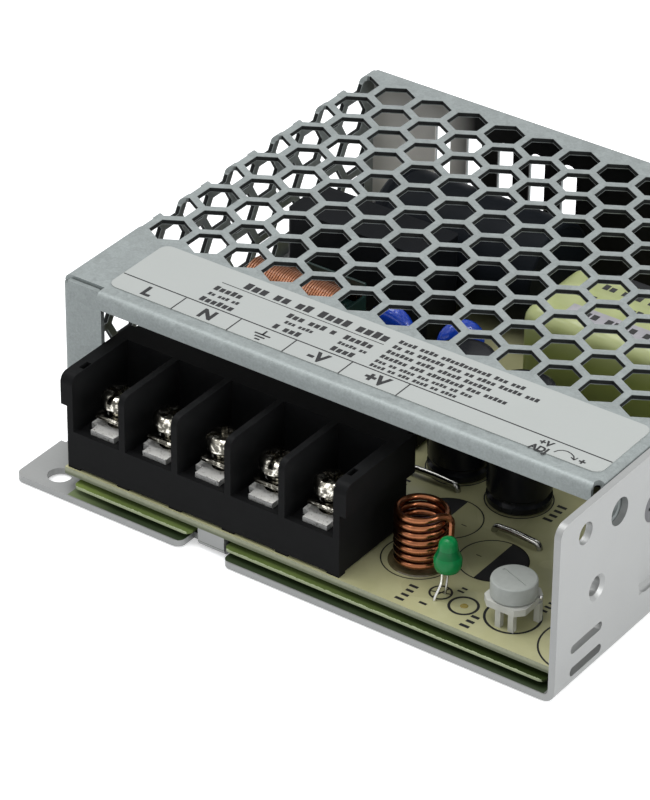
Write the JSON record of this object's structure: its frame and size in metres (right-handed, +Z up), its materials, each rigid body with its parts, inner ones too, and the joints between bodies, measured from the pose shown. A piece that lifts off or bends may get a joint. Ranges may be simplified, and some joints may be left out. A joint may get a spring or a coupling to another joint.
{
  "type": "enclosed switching power supply",
  "caption": "Enclosed power supply with a folded aluminium base, honeycomb perforated steel cover, screw terminal block, indicator lamp and trimmer.",
  "frame": {"origin": "centre of the base plate's underside, under the middle of the outline", "axes": "+X to the right along the terminal side, -Y towards the terminals, +Z up out of the perforated top"},
  "size_m": [0.097, 0.099, 0.0302],
  "materials": {
    "chassis": "plain rolled sheet, satin",
    "mesh_cover": "zinc plated sheet with a faint spangle",
    "circuit_board": "resist coated laminate",
    "insulating_film": "clear green tinted film",
    "terminal_housing": "moulded, fine matt",
    "led_lens": "tinted epoxy",
    "led_lead_short": "tinned wire",
    "led_lead_long": "tinned wire",
    "trimmer_base": "moulded",
    "trimmer_knob": "moulded",
    "output_coil": "enamelled copper",
    "output_capacitor_1": "shrunk sleeve",
    "output_capacitor_2": "shrunk sleeve",
    "jumper_wire_1": "tinned wire",
    "jumper_wire_2": "tinned wire",
    "bulk_capacitor": "shrunk sleeve",
    "film_capacitor": "moulded box",
    "choke_winding_1": "enamelled copper",
    "choke_winding_2": "enamelled copper",
    "choke_core": "coated ferrite and bobbin",
    "transformer_winding": "wound tape",
    "transformer_core": "ferrite",
    "transformer_bobbin": "moulded, fine matt",
    "disc_capacitor_1": "dipped coating",
    "disc_capacitor_2": "dipped coating",
    "thermistor": "dipped coating",
    "input_fuse": "ceramic tube",
    "bridge_rectifier": "moulded, fine matt",
    "control_chip": "moulded, fine matt",
    "optocoupler": "moulded, fine matt",
    "output_diode": "moulded, fine matt",
    "power_transistor": "moulded, fine matt",
    "output_diode_pad": "thermal pad",
    "power_transistor_pad": "thermal pad",
    "rating_label": "silver grey label film",
    "terminal_plate_1": "nickel plated, bright",
    "clamp_washer_1": "nickel plated, bright",
    "terminal_screw_1": "nickel plated, bright",
    "terminal_plate_2": "nickel plated, bright",
    "clamp_washer_2": "nickel plated, bright",
    "terminal_screw_2": "nickel plated, bright",
    "terminal_plate_3": "nickel plated, bright",
    "clamp_washer_3": "nickel plated, bright",
    "terminal_screw_3": "nickel plated, bright",
    "terminal_plate_4": "nickel plated, bright",
    "clamp_washer_4": "nickel plated, bright",
    "terminal_screw_4": "nickel plated, bright",
    "terminal_plate_5": "nickel plated, bright",
    "clamp_washer_5": "nickel plated, bright",
    "terminal_screw_5": "nickel plated, bright",
    "board_post_1": "tinned wire",
    "board_screw_1": "nickel plated, bright",
    "wall_screw_1": "blackened",
    "wall_nut_1": "tinned wire",
    "cover_screw_1": "nickel plated, bright",
    "board_post_2": "tinned wire",
    "board_screw_2": "nickel plated, bright",
    "wall_screw_2": "blackened",
    "wall_nut_2": "tinned wire",
    "cover_screw_2": "nickel plated, bright"
  },
  "bodies": {
    "case": {"chassis": "chassis", "mesh_cover": "mesh_cover", "circuit_board": "circuit_board", "insulating_film": "insulating_film", "terminal_housing": "terminal_housing", "led_lens": "led_lens", "led_lead_short": "led_lead_short", "led_lead_long": "led_lead_long", "trimmer_base": "trimmer_base", "output_coil": "output_coil", "output_capacitor_1": "output_capacitor_1", "output_capacitor_2": "output_capacitor_2", "jumper_wire_1": "jumper_wire_1", "jumper_wire_2": "jumper_wire_2", "bulk_capacitor": "bulk_capacitor", "film_capacitor": "film_capacitor", "choke_winding_1": "choke_winding_1", "choke_winding_2": "choke_winding_2", "choke_core": "choke_core", "transformer_winding": "transformer_winding", "transformer_core": "transformer_core", "transformer_bobbin": "transformer_bobbin", "disc_capacitor_1": "disc_capacitor_1", "disc_capacitor_2": "disc_capacitor_2", "thermistor": "thermistor", "input_fuse": "input_fuse", "bridge_rectifier": "bridge_rectifier", "control_chip": "control_chip", "optocoupler": "optocoupler", "output_diode": "output_diode", "power_transistor": "power_transistor", "output_diode_pad": "output_diode_pad", "power_transistor_pad": "power_transistor_pad", "rating_label": "rating_label", "terminal_plate_1": "terminal_plate_1", "terminal_plate_2": "terminal_plate_2", "terminal_plate_3": "terminal_plate_3", "terminal_plate_4": "terminal_plate_4", "terminal_plate_5": "terminal_plate_5", "board_post_1": "board_post_1", "board_screw_1": "board_screw_1", "wall_screw_1": "wall_screw_1", "wall_nut_1": "wall_nut_1", "cover_screw_1": "cover_screw_1", "board_post_2": "board_post_2", "board_screw_2": "board_screw_2", "wall_screw_2": "wall_screw_2", "wall_nut_2": "wall_nut_2", "cover_screw_2": "cover_screw_2"},
    "terminal_1_washer": {"clamp_washer_1": "clamp_washer_1"},
    "terminal_2_washer": {"clamp_washer_2": "clamp_washer_2"},
    "terminal_3_washer": {"clamp_washer_3": "clamp_washer_3"},
    "terminal_4_washer": {"clamp_washer_4": "clamp_washer_4"},
    "terminal_5_washer": {"clamp_washer_5": "clamp_washer_5"},
    "terminal_1_screw": {"terminal_screw_1": "terminal_screw_1"},
    "terminal_2_screw": {"terminal_screw_2": "terminal_screw_2"},
    "terminal_3_screw": {"terminal_screw_3": "terminal_screw_3"},
    "terminal_4_screw": {"terminal_screw_4": "terminal_screw_4"},
    "terminal_5_screw": {"terminal_screw_5": "terminal_screw_5"},
    "trimmer": {"trimmer_knob": "trimmer_knob"}
  },
  "joints": [
    {"name": "washer_1_travel", "type": "slide", "parent": "case", "child": "terminal_1_washer", "axis": [0, 0, 1], "range_m": [-0.0009, 0]},
    {"name": "screw_1_turn", "type": "hinge", "parent": "terminal_1_washer", "child": "terminal_1_screw", "pos_m": [-0.03443, -0.0412, 0.0147], "axis": [0, 0, 1], "range_deg": [-540, 0]},
    {"name": "washer_2_travel", "type": "slide", "parent": "case", "child": "terminal_2_washer", "axis": [0, 0, 1], "range_m": [-0.0009, 0]},
    {"name": "screw_2_turn", "type": "hinge", "parent": "terminal_2_washer", "child": "terminal_2_screw", "pos_m": [-0.02471, -0.0412, 0.0147], "axis": [0, 0, 1], "range_deg": [-540, 0]},
    {"name": "washer_3_travel", "type": "slide", "parent": "case", "child": "terminal_3_washer", "axis": [0, 0, 1], "range_m": [-0.0009, 0]},
    {"name": "screw_3_turn", "type": "hinge", "parent": "terminal_3_washer", "child": "terminal_3_screw", "pos_m": [-0.01499, -0.0412, 0.0147], "axis": [0, 0, 1], "range_deg": [-540, 0]},
    {"name": "washer_4_travel", "type": "slide", "parent": "case", "child": "terminal_4_washer", "axis": [0, 0, 1], "range_m": [-0.0009, 0]},
    {"name": "screw_4_turn", "type": "hinge", "parent": "terminal_4_washer", "child": "terminal_4_screw", "pos_m": [-0.00527, -0.0412, 0.0147], "axis": [0, 0, 1], "range_deg": [-540, 0]},
    {"name": "washer_5_travel", "type": "slide", "parent": "case", "child": "terminal_5_washer", "axis": [0, 0, 1], "range_m": [-0.0009, 0]},
    {"name": "screw_5_turn", "type": "hinge", "parent": "terminal_5_washer", "child": "terminal_5_screw", "pos_m": [0.00445, -0.0412, 0.0147], "axis": [0, 0, 1], "range_deg": [-540, 0]},
    {"name": "trimmer_turn", "type": "hinge", "parent": "case", "child": "trimmer", "pos_m": [0.0355, -0.0404, 0.009], "axis": [0, 0, 1], "range_deg": [-105, 105]}
  ],
  "couplings": [
    {"joint": "screw_1_turn", "follows": "washer_1_travel", "rad_per_m": 10471},
    {"joint": "screw_2_turn", "follows": "washer_2_travel", "rad_per_m": 10471},
    {"joint": "screw_3_turn", "follows": "washer_3_travel", "rad_per_m": 10471},
    {"joint": "screw_4_turn", "follows": "washer_4_travel", "rad_per_m": 10471},
    {"joint": "screw_5_turn", "follows": "washer_5_travel", "rad_per_m": 10471}
  ]
}
